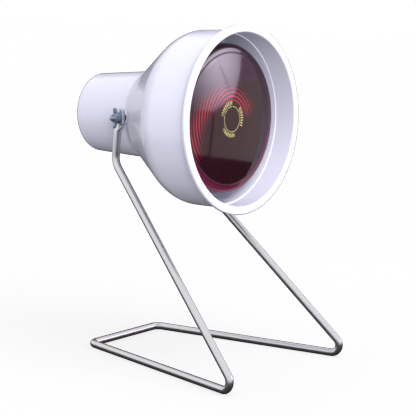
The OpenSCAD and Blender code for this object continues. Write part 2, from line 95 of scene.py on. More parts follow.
def length(name, description, default, low, high):
    """A size in metres."""
    limits = {"default": default, "min": low, "max": high}
    return FloatProperty(name=name, description=description, unit="LENGTH", precision=5, **limits)


def angle_setting(name, description, degrees):
    """An angle that is written in degrees and kept in radians."""
    return FloatProperty(name=name, description=description, default=math.radians(degrees), subtype="ANGLE")


def colour(name, description, default):
    """A colour as red, green and blue."""
    return FloatVectorProperty(
        name=name, description=description, default=default, size=3, min=0, max=1, subtype="COLOR"
    )


class HousingSettings(bpy.types.PropertyGroup):
    """Moulded bell housing"""

    wall: length("Wall", "Thickness of the moulding", 2.8 * MM, 1 * MM, 5 * MM)
    throat_ahead: length("Throat", "From the tilt axis to where the bell begins", 1.2 * MM, 0, 6 * MM)
    throat_width: length("Throat diameter", "Neck's diameter where the bell begins", 72.6 * MM, 0.05, 0.1)
    neck_width: length("Neck diameter", "Diameter of the neck at its rear", 66 * MM, 0.05, 0.09)
    cone_angle: angle_setting("Cone angle", "Angle of the bell's cone", 35.5)
    bell_width: length("Bell diameter", "Diameter of the bell just behind the lip", 143.2 * MM, 0.12, 0.16)
    lip_width: length("Lip diameter", "Diameter of the flat lip", 152 * MM, 0.14, 0.17)
    mouth_width: length("Mouth diameter", "Diameter inside the lip", 139 * MM, 0.12, 0.15)
    lip_depth: length("Lip thickness", "Thickness of the flat lip", 3 * MM, 1 * MM, 6 * MM)
    step_back: length("Step", "Distance of the inner step behind the lip", 18.8 * MM, 0.01, 0.03)
    boss_width: length("Boss diameter", "Diameter of the two pivot bosses", 11 * MM, 0.008, 0.014)
    white: colour("White", "Colour of the moulding", (0.775, 0.78, 0.93))


class StandSettings(bpy.types.PropertyGroup):
    """Stand bent from one steel rod"""

    rod: length("Rod", "Diameter of the rod", 6 * MM, 3 * MM, 9 * MM)
    knee_height: length("Knee height", "Height of the knee above the floor", 159.3 * MM, 0.1, 0.18)
    knee_back: length("Knee back", "Distance of the knee behind the tilt axis", 5.6 * MM, 0, 0.02)
    knee_inset: length("Knee inset", "Distance of the knee inside the eye", 2.1 * MM, 0, 0.005)
    front_reach: length("Front reach", "From the tilt axis to the front corners", 155.7 * MM, 0.1, 0.2)
    front_span: length("Front span", "Between the two front floor corners", 156.4 * MM, 0.1, 0.2)
    rear_span: length("Rear span", "Between the two rear floor corners", 85.6 * MM, 0.05, 0.12)
    knee_radius: length("Knee bend", "Radius of the knee bend", 12 * MM, 6 * MM, 0.02)
    corner_radius: length("Corner bend", "Radius of the floor corners", 7 * MM, 4 * MM, 0.012)
    eye_width: length("Eye width", "Width of the flattened eye", 9.5 * MM, 0.008, 0.012)
    eye_hole: length("Eye hole", "Diameter of the hole in the eye", 4.1 * MM, 3 * MM, 5 * MM)
    eye_drop: length("Eye drop", "Flat length below the hole", 5 * MM, 3 * MM, 8 * MM)
    eye_taper: length("Eye taper", "Length from the flat eye to the round rod", 6 * MM, 3 * MM, 0.01)
    eye_corner: length("Eye corner", "Radius of the eye's upper corners", 3 * MM, 1 * MM, 4.5 * MM)
    plating: colour("Plating", "Colour of the bright plating", (0.73, 0.73, 0.76))


class PivotSettings(bpy.types.PropertyGroup):
    """Bolts, washers and wing nuts of the tilt axis"""

    bolt: length("Bolt", "Diameter of the pivot bolts", 4 * MM, 3 * MM, 5 * MM)
    pitch: length("Thread pitch", "Distance between two threads", 0.7 * MM, 0.4 * MM, 1 * MM)
    hexagon: length("Bolt head", "Width of the bolt heads across their flats", 7 * MM, 6 * MM, 8 * MM)
    washer_hole: length("Washer hole", "Diameter of the washers' holes", 4.3 * MM, 4 * MM, 5 * MM)
    friction_width: length("Friction washer", "Diameter of the friction washers", 9.5 * MM, 8 * MM, 0.012)
    plain_width: length("Plain washer", "Diameter of the plain washers", 9 * MM, 8 * MM, 0.012)
    nut_width: length("Nut body", "Diameter of the wing nut's body", 8.2 * MM, 6 * MM, 9 * MM)
    nut_height: length("Nut height", "Height of the wing nut's body", 5.6 * MM, 4 * MM, 7 * MM)
    zinc: colour("Zinc", "Colour of the blue passivated zinc", (0.26, 0.33, 0.47))


class LampSettings(bpy.types.PropertyGroup):
    """Ruby reflector lamp"""

    glass: length("Glass", "Thickness of the face's glass", 2.6 * MM, 1 * MM, 4 * MM)
    crown: length("Crown", "Height of the face's crown above its edge", 7.6 * MM, 4 * MM, 0.01)
    dome: length("Dome", "Height of the face's shallow dome alone", 3 * MM, 2 * MM, 6 * MM)
    edge: length("Edge", "Height of the face's straight edge", 2.6 * MM, 1 * MM, 5 * MM)
    ring_pitch: length("Ring pitch", "Between neighbouring moulded rings", 3.2 * MM, 2 * MM, 5 * MM)
    ring_height: length("Ring height", "Height of the moulded rings", 0.5 * MM, 0.1 * MM, 1 * MM)
    ring_start: length("Ring start", "Radius of the plain disc inside the rings", 13.7 * MM, 0.01, 0.03)
    ring_count: IntProperty(name="Rings", description="Number of moulded rings", default=12, min=6, max=14)
    print_radius: length("Print radius", "Radius of the thin printed circle", 10.2 * MM, 5 * MM, 0.015)
    ruby: colour("Ruby", "Colour of the stained glass", (0.014, 0.0026, 0.0060))
    # Painted highlight: the bright red of the rings where they catch the light is painted into the face's
    # colour.
    painted_ring_highlight: colour("Ring red", "Colour of the rings where they catch the light", (0.46, 0.010, 0.036))
    bead_radius: length("Bead radius", "Radius of the fine bead round the face", 53.2 * MM, 0.04, 0.06)
    bead_height: length("Bead height", "Height of the fine bead", 0.09 * MM, 0, 0.5 * MM)
    bead_width: length("Bead width", "Half width of the fine bead", 0.45 * MM, 0.2 * MM, 2 * MM)
    edge_start: length("Edge start", "Radius where the red of the thick edge begins", 51.5 * MM, 0.04, 0.06)
    edge_red: colour("Edge red", "Colour of the thick edge", (0.095, 0.010, 0.032))
    gold: colour("Gold", "Colour of the print in the middle of the face", (0.62, 0.58, 0.22))


class RubberSettings(bpy.types.PropertyGroup):
    """Rubber of the cable bush and the friction washers"""

    rubber: colour("Rubber", "Colour of the bush and friction washers", (0.018, 0.018, 0.020))


class StudioSettings(bpy.types.PropertyGroup):
    """Camera, floor and light"""

    azimuth: angle_setting("Azimuth", "Camera's bearing round the lamp", -52.12)
    elevation: angle_setting("Elevation", "Camera's height as an angle", 9.292)
    roll: angle_setting("Roll", "Camera's roll", 1.593)
    distance: length("Distance", "From the camera to its target", 1138.113 * MM, 0.5, 3)
    target: FloatVectorProperty(
        name="Target",
        description="Point the camera looks at",
        default=(-0.00491, -0.064941, 0.125997),
        size=3,
    )
    lens: FloatProperty(name="Focal length", description="Focal length in millimetres", default=120.77)
    ambient: FloatProperty(name="Ambient", description="Strength of the light from all round", default=0.31)


GROUPS = {
    "heat_lamp_housing": HousingSettings,
    "heat_lamp_stand": StandSettings,
    "heat_lamp_pivots": PivotSettings,
    "heat_lamp_lamp": LampSettings,
    "heat_lamp_rubber": RubberSettings,
    "heat_lamp_studio": StudioSettings,
}

# ---------------------------------------------------------------- surfaces


def unit(vector):
    """The vector at length 1."""
    return vector / np.linalg.norm(vector)


def bend(here, before, after, radius, steps):
    """Arc at a corner whose two sides leave it in the directions before and after. The arc touches both, and
    its centre lies radius / sin(half the angle between them) away on their bisector."""
    half = math.acos(np.clip(before @ after, -1, 1)) / 2
    out, across = -unit(before + after), unit(after - before)
    middle = here - out * radius / math.sin(half)
    angles = np.linspace(half - math.pi / 2, math.pi / 2 - half, steps + 1)[:, None]
    return middle + radius * (np.cos(angles) * out + np.sin(angles) * across)


def rounded(corners, steps=8, guard=0.12 * MM):
    """Closed outline through corners (radius, place, rounding). A guard point on either side of each
    rounding keeps the flat next to it flat when it is shaded smooth."""
    points = []
    for index, (x, y, radius) in enumerate(corners):
        here = np.array([x, y])
        if radius <= 0:
            points.append(here[None])
            continue
        before = unit(np.array(corners[index - 1][:2]) - here)
        after = unit(np.array(corners[(index + 1) % len(corners)][:2]) - here)
        arc = bend(here, before, after, radius, steps)
        points += [arc[:1] + before * guard, arc, arc[-1:] + after * guard]
    return np.concatenate(points)


def cuts_of(starts, ends, step):
    """How many equal parts no longer than step each straight needs."""
    return np.maximum(1, np.ceil(np.linalg.norm(ends - starts, axis=1) / step)).astype(int)


def divided(starts, ends, cuts):
    """Points along the straights, each cut into its own number of equal parts."""
    shares = [(np.arange(count) / count)[:, None] for count in cuts]
    return np.concatenate([here + (there - here) * share for here, there, share in zip(starts, ends, shares)])


def finely(outline, step):
    """The closed outline with its sides cut into parts no longer than step, which may differ by side."""
    ends = np.roll(outline, -1, axis=0)
    return divided(outline, ends, cuts_of(outline, ends, step))


def turned(outline, columns=160, angles=None):
    """Surface of revolution: point (r, s) of the outline at angle a is (r cos a, r sin a, s)."""
    angles = np.arange(columns) / columns * TURNS if angles is None else angles
    radius, place = outline[:, :1], outline[:, 1:]
    return np.stack([radius * np.cos(angles), radius * np.sin(angles), place + 0 * angles], -1)


def on_head(points):
    """From the head's frame (X along the bolts, Y up, Z ahead) to the part's frame."""
    points = np.asarray(points)
    return PIVOT + points[..., :1] * SIDEWAYS + points[..., 1:2] * UPWARD + points[..., 2:] * FORWARD


def along_x(points, side):
    """A shape turned about Z, laid along the tilt axis: its Z points outward on that side, its Y stays up."""
    return np.stack([side * points[..., 2], -side * points[..., 0], points[..., 1]], -1)


def grid(points, wrap_rows=True):
    """Vertices and quads of a grid of points. Its columns close on themselves, and its rows if they wrap."""
    rows, columns = points.shape[:2]
    i, j = np.meshgrid(np.arange(rows if wrap_rows else rows - 1), np.arange(columns), indexing="ij")
    here, beyond = i * columns, (i + 1) % rows * columns
    after = (j + 1) % columns
    quads = np.stack([here + j, beyond + j, beyond + after, here + after], -1)
    return points.reshape(-1, 3), quads.reshape(-1, 4)


def mesh_of(name, grids, sharp=35):
    """One mesh from several grids. Poles are merged, normals face outwards and edges over the angle stay
    sharp."""
    vertices, quads, offset = [], [], 0
    for points, faces in grids:
        vertices.append(points)
        quads.append(faces + offset)
        offset += len(points)
    mesh = bpy.data.meshes.new(name)
    mesh.from_pydata(np.concatenate(vertices), [], np.concatenate(quads))
    shape = bmesh.new()
    shape.from_mesh(mesh)
    bmesh.ops.remove_doubles(shape, verts=shape.verts, dist=1e-7)
    bmesh.ops.recalc_face_normals(shape, faces=shape.faces)
    shape.to_mesh(mesh)
    shape.free()
    mesh.shade_smooth()
    mesh.set_sharp_from_angle(angle=math.radians(sharp))
    return mesh


def piece(name, mesh, body, slot, material, *nodes):
    """Puts a mesh into the scene as a finished piece that rides on a body and stands for CAD nodes."""
    thing = bpy.data.objects.new(name, mesh)
    bpy.context.scene.collection.objects.link(thing)
    mesh.materials.clear()
    mesh.materials.append(material)
    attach(thing, body)
    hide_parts(*nodes)
    return thing


def bake_modifiers(thing):
    """Gives a piece the mesh that its modifiers make."""
    graph = bpy.context.evaluated_depsgraph_get()
    mesh = bpy.data.meshes.new_from_object(thing.evaluated_get(graph))
    thing.modifiers.clear()
    thing.data = mesh


def smooth_maximum(a, b, blend):
    """The larger of two fields, rounded where they are closer than blend."""
    nearness = np.clip(1 - np.abs(a - b) / blend, 0, 1)
    return np.maximum(a, b) + nearness * nearness * blend / 4


# ---------------------------------------------------------------- finishes


class Finish:
    """A node material being put together."""

    def __init__(self, name):
        self.material = bpy.data.materials.new(name)
        self.material.use_nodes = True
        self.tree = self.material.node_tree
        self.shader = self.tree.nodes["Principled BSDF"]
        self.place = self.tree.nodes.new("ShaderNodeTexCoord").outputs["Object"]

    def set(self, **values):
        """Sets sockets of the shader, with _ for a space in their names."""
        for name, value in values.items():
            self.shader.inputs[name.replace("_", " ")].default_value = value
        return self

    def node(self, kind, **inputs):
        """A node with inputs set or linked by name or number."""
        made = self.tree.nodes.new("ShaderNode" + kind)
        for name, value in inputs.items():
            key = int(name[1:]) if name[0] == "i" and name[1:].isdigit() else name.replace("_", " ")
            if isinstance(value, bpy.types.NodeSocket):
                self.tree.links.new(value, made.inputs[key])
            else:
                made.inputs[key].default_value = value
        return made

    def link(self, output, name):
        """Links an output to a socket of the shader."""
        self.tree.links.new(output, self.shader.inputs[name])

    def maths(self, operation, first, second=0.0, third=0.0):
        """A Math node's result."""
        made = self.node("Math", i0=first, i1=second, i2=third)
        made.operation = operation
        return made.outputs[0]

    def times(self, first, *others):
        """Product of fields and numbers."""
        for other in others:
            first = self.maths("MULTIPLY", first, other)
        return first

    def over(self, field, limit):
        """1 where a field is over a limit, and 0 elsewhere."""
        return self.maths("GREATER_THAN", field, limit)

    def stretched(self, scale):
        """Object coordinates multiplied by scale."""
        return self.node("Mapping", Vector=self.place, Scale=scale).outputs[0]

    def noise(self, size, detail=3.0, roughness=0.5, where=None):
        """Noise whose patches are about size metres across."""
        where = where or self.place
        made = self.node("TexNoise", Vector=where, Scale=1 / size, Detail=detail, Roughness=roughness)
        return made.outputs["Fac"]

    def between(self, factor, low, high):
        """Maps a 0..1 factor to low..high."""
        made = self.node("MapRange", Value=factor)
        made.inputs["To Min"].default_value = low
        made.inputs["To Max"].default_value = high
        return made.outputs[0]

    def mix(self, factor, first, second):
        """A colour between two colours."""
        made = self.tree.nodes.new("ShaderNodeMix")
        made.data_type = "RGBA"
        for socket, value in ((0, factor), (6, first), (7, second)):
            if isinstance(value, bpy.types.NodeSocket):
                self.tree.links.new(value, made.inputs[socket])
            elif socket == 0:
                made.inputs[0].default_value = value
            else:
                made.inputs[socket].default_value = (*value[:3], 1)
        return made.outputs[2]

    def along(self, direction):
        """Distance from the middle of the tilt axis along a direction."""
        apart = self.node("VectorMath", i0=self.place, i1=tuple(PIVOT))
        apart.operation = "SUBTRACT"
        shadow = self.node("VectorMath", i0=apart.outputs[0], i1=tuple(direction))
        shadow.operation = "DOT_PRODUCT"
        return shadow.outputs["Value"]

    def reach(self, x, y):
        """Length of the vector (x, y)."""
        return self.maths("SQRT", self.maths("MULTIPLY_ADD", x, x, self.times(y, y)))

    def fades(self, offset, width):
        """Falls from 1 to nothing as an offset grows past width either way, along a bell curve."""
        share = self.maths("DIVIDE", offset, width)
        return self.maths("EXPONENT", self.times(share, share, -1.0))

    def ramp(self, value, low, high):
        """0 below low, 1 above high and a smooth rise between them."""
        made = self.node("MapRange", Value=value)
        made.interpolation_type = "SMOOTHSTEP"
        made.inputs["From Min"].default_value = low
        made.inputs["From Max"].default_value = high
        return made.outputs[0]

    def tone(self, factor, first, second):
        """Base colour between two colours."""
        self.link(self.mix(factor, first, second), "Base Color")

    def gloss(self, factor, low, high):
        """Roughness between two values."""
        self.link(self.between(factor, low, high), "Roughness")

    def relief(self, height, strength, distance):
        """Bump from a height field, distance metres deep."""
        self.link(self.node("Bump", Strength=strength, Distance=distance, Height=height).outputs[0], "Normal")


def tinted(colour, factor):
    """A colour made darker or lighter by a factor."""
    return tuple(channel * factor for channel in colour)


def moulded_white(settings):
    """Glossy white moulding: a faint orange peel, long wipes in its gloss and a slight change of tone."""
    finish = Finish("moulded_white").set(Roughness=0.2, IOR=1.5)
    finish.tone(finish.noise(60 * MM, 2), tinted(settings.white, 0.985), settings.white)
    finish.gloss(finish.noise(9 * MM, 5, 0.6, finish.stretched((1, 1, 0.35))), 0.11, 0.24)
    finish.relief(finish.noise(2.2 * MM, 2), 0.12, 0.03 * MM)
    return finish.material


def bright_rod(settings):
    """Bright plated rod: faint fine spots, a mottled gloss and a fine grain."""
    finish = Finish("bright_rod").set(Metallic=1.0, Roughness=0.28)
    finish.tone(finish.noise(1.6 * MM, 4, 0.6), tinted(settings.plating, 0.93), settings.plating)
    finish.gloss(finish.noise(5 * MM, 5, 0.65), 0.26, 0.42)
    finish.relief(finish.noise(0.5 * MM, 3), 0.10, 0.02 * MM)
    return finish.material


def blue_zinc(settings):
    """Zinc with a blue passivation: a cool metal with slightly warmer clouds and a grainy gloss."""
    finish = Finish("blue_zinc").set(Metallic=1.0, Roughness=0.3)
    warming = (1.35, 1.25, 1.02)
    warm = tuple(channel * share for channel, share in zip(settings.zinc, warming))
    finish.tone(finish.noise(3 * MM, 3, 0.6), settings.zinc, warm)
    finish.gloss(finish.noise(0.7 * MM, 3), 0.2, 0.42)
    finish.relief(finish.noise(0.35 * MM, 3), 0.2, 0.02 * MM)
    return finish.material


def black_rubber(settings):
    """Matt rubber with a faint moulding grain and paler dust."""
    finish = Finish("black_rubber").set(Roughness=0.7, IOR=1.5)
    dust = finish.noise(2.5 * MM, 5, 0.7)
    finish.tone(dust, settings.rubber, tinted(settings.rubber, 2.2))
    finish.gloss(dust, 0.55, 0.85)
    finish.relief(finish.noise(0.4 * MM, 3), 0.3, 0.04 * MM)
    return finish.material


def yellow_brass():
    """Plain brass with darker tarnish in clouds."""
    finish = Finish("yellow_brass").set(Metallic=1.0, Roughness=0.3)
    finish.tone(finish.noise(4 * MM, 4, 0.6), (0.45, 0.28, 0.09), (0.78, 0.60, 0.27))
    finish.gloss(finish.noise(1.5 * MM, 4), 0.2, 0.45)
    finish.relief(finish.noise(0.5 * MM, 2), 0.1, 0.02 * MM)
    return finish.material


def white_porcelain():
    """Unglazed steatite: chalky white with fine dark specks."""
    finish = Finish("white_porcelain").set(Roughness=0.55, IOR=1.55)
    specks = finish.over(finish.noise(0.8 * MM, 2), 0.72)
    finish.tone(specks, (0.84, 0.81, 0.74), (0.60, 0.56, 0.50))
    finish.relief(finish.noise(0.6 * MM, 3), 0.15, 0.03 * MM)
    finish.gloss(finish.noise(3 * MM, 3), 0.45, 0.7)
    return finish.material


def soft_metal(name, dark, bright, rough):
    """Dull drawn metal of solder, nickel wire or tungsten."""
    finish = Finish(name).set(Metallic=1.0, Roughness=rough)
    finish.tone(finish.noise(1.2 * MM, 4), dark, bright)
    finish.gloss(finish.noise(0.6 * MM, 3), rough * 0.7, rough * 1.3)
    finish.relief(finish.noise(0.3 * MM, 2), 0.15, 0.02 * MM)
    return finish.material


def black_glass():
    """Black insulating glass with a wavy fire-polished skin."""
    finish = Finish("black_glass").set(Roughness=0.08, IOR=1.52)
    finish.tone(finish.noise(3 * MM, 2), (0.006, 0.006, 0.009), (0.012, 0.011, 0.014))
    finish.gloss(finish.noise(2 * MM, 3), 0.04, 0.15)
    finish.relief(finish.noise(2.5 * MM, 2), 0.2, 0.05 * MM)
    return finish.material


def silvered_glass():
    """Bowl of the lamp: glass silvered from inside, seen as a slightly wavy grey mirror."""
    finish = Finish("silvered_glass").set(Metallic=1.0, Roughness=0.14)
    finish.tone(finish.noise(12 * MM, 3), (0.56, 0.56, 0.58), (0.70, 0.70, 0.71))
    finish.gloss(finish.noise(6 * MM, 4), 0.08, 0.22)
    finish.relief(finish.noise(6 * MM, 2), 0.15, 0.08 * MM)
    return finish.material


def ruby_glass(settings):
    """Ruby stained glass of the face. Rings moulded behind it show as thin red lines of painted highlight,
    its thick edge is darker at the top than low down as painted shade, and dust lies on it. The print is in
    the middle."""
    edge_fade, top, bottom = 4 * MM, 45 * MM, -35 * MM
    finish = Finish("ruby_glass").set(Roughness=0.04, IOR=1.52)
    x, y = finish.along(SIDEWAYS), finish.along(UPWARD)
    radius = finish.reach(x, y)
    # Painted highlight: the rings' thin red lines, painted only along the arch where they would catch the
    # light.
    painted_shine = finish.times(ring_lines(finish, settings, radius), highlight_arch(finish, x, y))
    deep = finish.mix(finish.noise(25 * MM, 2), settings.ruby, tinted(settings.ruby, 1.5))
    edge = finish.ramp(radius, settings.edge_start, settings.edge_start + edge_fade)
    # The thick edge's red is the glass's own colour; its darkening towards the top is painted shade, for the
    # shaded inner wall that it reflects there.
    edge_red = finish.mix(finish.ramp(y, top, bottom), tinted(settings.edge_red, 0.2), settings.edge_red)
    lit = finish.mix(painted_shine, finish.mix(edge, deep, edge_red), settings.painted_ring_highlight)
    dust = finish.over(finish.noise(1.1 * MM, 2), 0.74)
    dusty = finish.mix(finish.times(dust, 0.10), lit, (0.5, 0.45, 0.45))
    finish.tone(face_print(finish, settings, x, y, radius), dusty, settings.gold)
    finish.gloss(finish.noise(8 * MM, 4), 0.03, 0.08)
    finish.relief(finish.noise(18 * MM, 1), 0.04, 0.1 * MM)
    return finish.material


def ring_lines(finish, settings, radius):
    """Thin lines of painted highlight on the moulded rings: ((1 - cos t) / 2) cubed, where t is a full turn
    for each ring.
    """
    rings = finish.maths("DIVIDE", finish.maths("SUBTRACT", radius, settings.ring_start), settings.ring_pitch)
    wave = finish.maths("COSINE", finish.times(rings, TURNS))
    line = finish.maths("POWER", finish.maths("MULTIPLY_ADD", wave, -0.5, 0.5), 3.0)
    return finish.times(line, finish.over(rings, 0.0), finish.maths("LESS_THAN", rings, settings.ring_count))


def highlight_arch(finish, x, y):
    """Painted highlight where the rings would turn the light to the front: a soft band along a circle about a
    point low on the face, on the side of that point that the arch leans to."""
    middle, circle, band, rise, lean = (-8 * MM, -20 * MM), 39 * MM, 7 * MM, 14 * MM, (-0.47, 0.88)
    from_x, from_y = finish.maths("SUBTRACT", x, middle[0]), finish.maths("SUBTRACT", y, middle[1])
    off_circle = finish.maths("SUBTRACT", finish.reach(from_x, from_y), circle)
    above = finish.maths("MULTIPLY_ADD", from_x, lean[0], finish.times(from_y, lean[1]))
    return finish.times(finish.fades(off_circle, band), finish.ramp(above, 0.0, rise))


def face_print(finish, settings, x, y, radius):
    """Factor of the print, a little worn: a thin circle, and outside it strokes in three arcs. At bearing b
    there is a stroke where sin(40 b) is over 0.1, and an arc where sin(3 b + 1.2) is over -0.35."""
    half_line, row_start, row_end = 0.22 * MM, 1.3 * MM, 4.4 * MM
    bearing = finish.maths("ARCTAN2", y, x)
    strokes = finish.over(finish.maths("SINE", finish.times(bearing, 40.0)), 0.1)
    arcs = finish.over(finish.maths("SINE", finish.maths("MULTIPLY_ADD", bearing, 3.0, 1.2)), -0.35)
    inside = finish.over(radius, settings.print_radius + row_start)
    outside = finish.maths("LESS_THAN", radius, settings.print_radius + row_end)
    marks = finish.times(inside, outside, strokes, arcs)
    off_circle = finish.maths("ABSOLUTE", finish.maths("SUBTRACT", radius, settings.print_radius))
    circle = finish.maths("LESS_THAN", off_circle, half_line)
    worn = finish.ramp(finish.noise(1.5 * MM, 3), 0.30, 0.48)
    return finish.times(finish.maths("MAXIMUM", circle, marks), worn, 0.9)


# ---------------------------------------------------------------- pieces


class HEATLAMP_OT_housing(bpy.types.Operator):
    """Turned shell of neck, cone, bell and lip, with a boss raised out of each side of the neck"""

    bl_idname = "heat_lamp.housing"
    bl_label = "Housing"

    boss_zone = 9 * MM
    boss_sector = math.radians(13)

    def section(self, s, rear, front, cover_r, ledge_r, ledge_in, ledge_out):
        """Closed outline of the shell's wall, as (radius, place) points. A straight is its slope and its
        radius at the tilt axis, and the inner ones lie the wall's thickness inside the outer ones."""

        def line(place, radius, slope):
            """Straight through a point."""
            return slope, radius - slope * place

        def inside(outer):
            """Straight the wall's thickness inside an outer one."""
            return outer[0], outer[1] - s.wall * math.hypot(1, outer[0])

        def meet(first, second, rounding):
            """Corner where two straights meet."""
            place = (second[1] - first[1]) / (first[0] - second[0])
            return first[1] + first[0] * place, place, rounding

        neck_bend, shoulder_bend, rear_bend, lip_edge = 8 * MM, 24 * MM, 2.5 * MM, 1.2 * MM
        draft, mouth_taper = math.tan(math.radians(1)), 0.3 * MM
        slope = (s.throat_width - s.neck_width) / 2 / (s.throat_ahead - rear)
        neck = line(rear, s.neck_width / 2, slope)
        cone = line(s.throat_ahead, s.throat_width / 2, math.tan(s.cone_angle))
        lip_back = front - s.lip_depth
        bell = line(lip_back, s.bell_width / 2, draft)
        neck_in, cone_in, bell_in = inside(neck), inside(cone), inside(bell)
        step = front - s.step_back
        return rounded(
            [
                (cover_r, rear, 0.3 * MM),
                (s.neck_width / 2, rear, rear_bend),
                meet(neck, cone, neck_bend),
                meet(cone, bell, shoulder_bend),
                (s.bell_width / 2, lip_back, 0.5 * MM),
                (s.lip_width / 2, lip_back, 0.7 * MM),
                (s.lip_width / 2, front, lip_edge),
                (s.mouth_width / 2, front, lip_edge),
                (s.mouth_width / 2 - mouth_taper, step, 0.25 * MM),
                (bell_in[1] + bell_in[0] * step, step, 0.15 * MM),
                meet(cone_in, bell_in, shoulder_bend - s.wall),
                meet(neck_in, cone_in, neck_bend + s.wall),
                (neck_in[1] + neck_in[0] * ledge_in, ledge_in, 0.4 * MM),
                (ledge_r, ledge_in, 0.4 * MM),
                (ledge_r, ledge_out, 0.2 * MM),
                (cover_r, ledge_out, 0.2 * MM),
            ],
            steps=10,
        )

    def columns(self):
        """Angles round the axis, dense where the bosses stand at 0 and 180 degrees."""
        dense = self.boss_sector
        near = np.arange(-dense, dense, math.radians(0.5))
        far = np.arange(dense, math.pi - dense, math.radians(2))
        return np.concatenate([near, far, near + math.pi, far + math.pi])

    def execute(self, context):
        s = context.scene.heat_lamp_housing
        rear_edge, cover_depth, ledge_width, ledge_depth = 3.4 * MM, 2 * MM, 1.9 * MM, 1.8 * MM
        step, step_near_boss = 1.5 * MM, 0.35 * MM
        front, rear = on_axis("housing_shell", 1), on_axis("housing_shell", 0)
        cover_in = on_axis("rear_cover", 0) + cover_depth
        cover_r = s.neck_width / 2 - rear_edge
        ledge_r, ledge_in = cover_r - ledge_width, cover_in + ledge_depth
        outline = finely(self.section(s, rear, front, cover_r, ledge_r, ledge_in, cover_in), step)
        near = np.abs(outline[:, 1]) < self.boss_zone
        outline = finely(outline, np.where(near, step_near_boss, math.inf))
        points = turned(outline, angles=self.columns())
        self.raise_bosses(points, outline, s)
        mesh = mesh_of("housing", [grid(on_head(points))])
        piece("housing", mesh, "head", "white_shell", moulded_white(s), "housing_shell")
        return {"FINISHED"}

    def raise_bosses(self, points, outline, s):
        """Lifts the outer wall to each boss's flat face, and the inner wall to its end. Past the face's
        rounded edge the boss falls 6 times as fast as it widens, and blends into the wall."""
        edge, steepness, blend = 0.5 * MM, 6, 0.8 * MM
        boss_face = inner_width("friction_washer_right")
        strap_face = half_width("holder_bracket")
        middle_radius = s.throat_width / 2 - s.wall / 2
        x, y, z = points[..., 0], points[..., 1], points[..., 2]
        away = np.hypot(y, z) - s.boss_width / 2
        fall = np.clip((away + edge) / edge, 0, 1)
        drop = edge * (1 - np.sqrt(1 - fall**2)) + np.clip(away, 0, None) * steepness
        beside = (np.abs(y) < self.boss_zone) & (np.abs(z) < self.boss_zone)
        outer = (outline[:, 0] > middle_radius)[:, None]
        reach = np.abs(x)
        lifted = smooth_maximum(reach, boss_face - drop, blend)
        lifted = np.where(lifted > boss_face, np.maximum(reach, boss_face), lifted)
        sunk = -smooth_maximum(-reach, -strap_face - drop, blend)
        x[...] = np.sign(x) * np.where(beside, np.where(outer, lifted, sunk), reach)


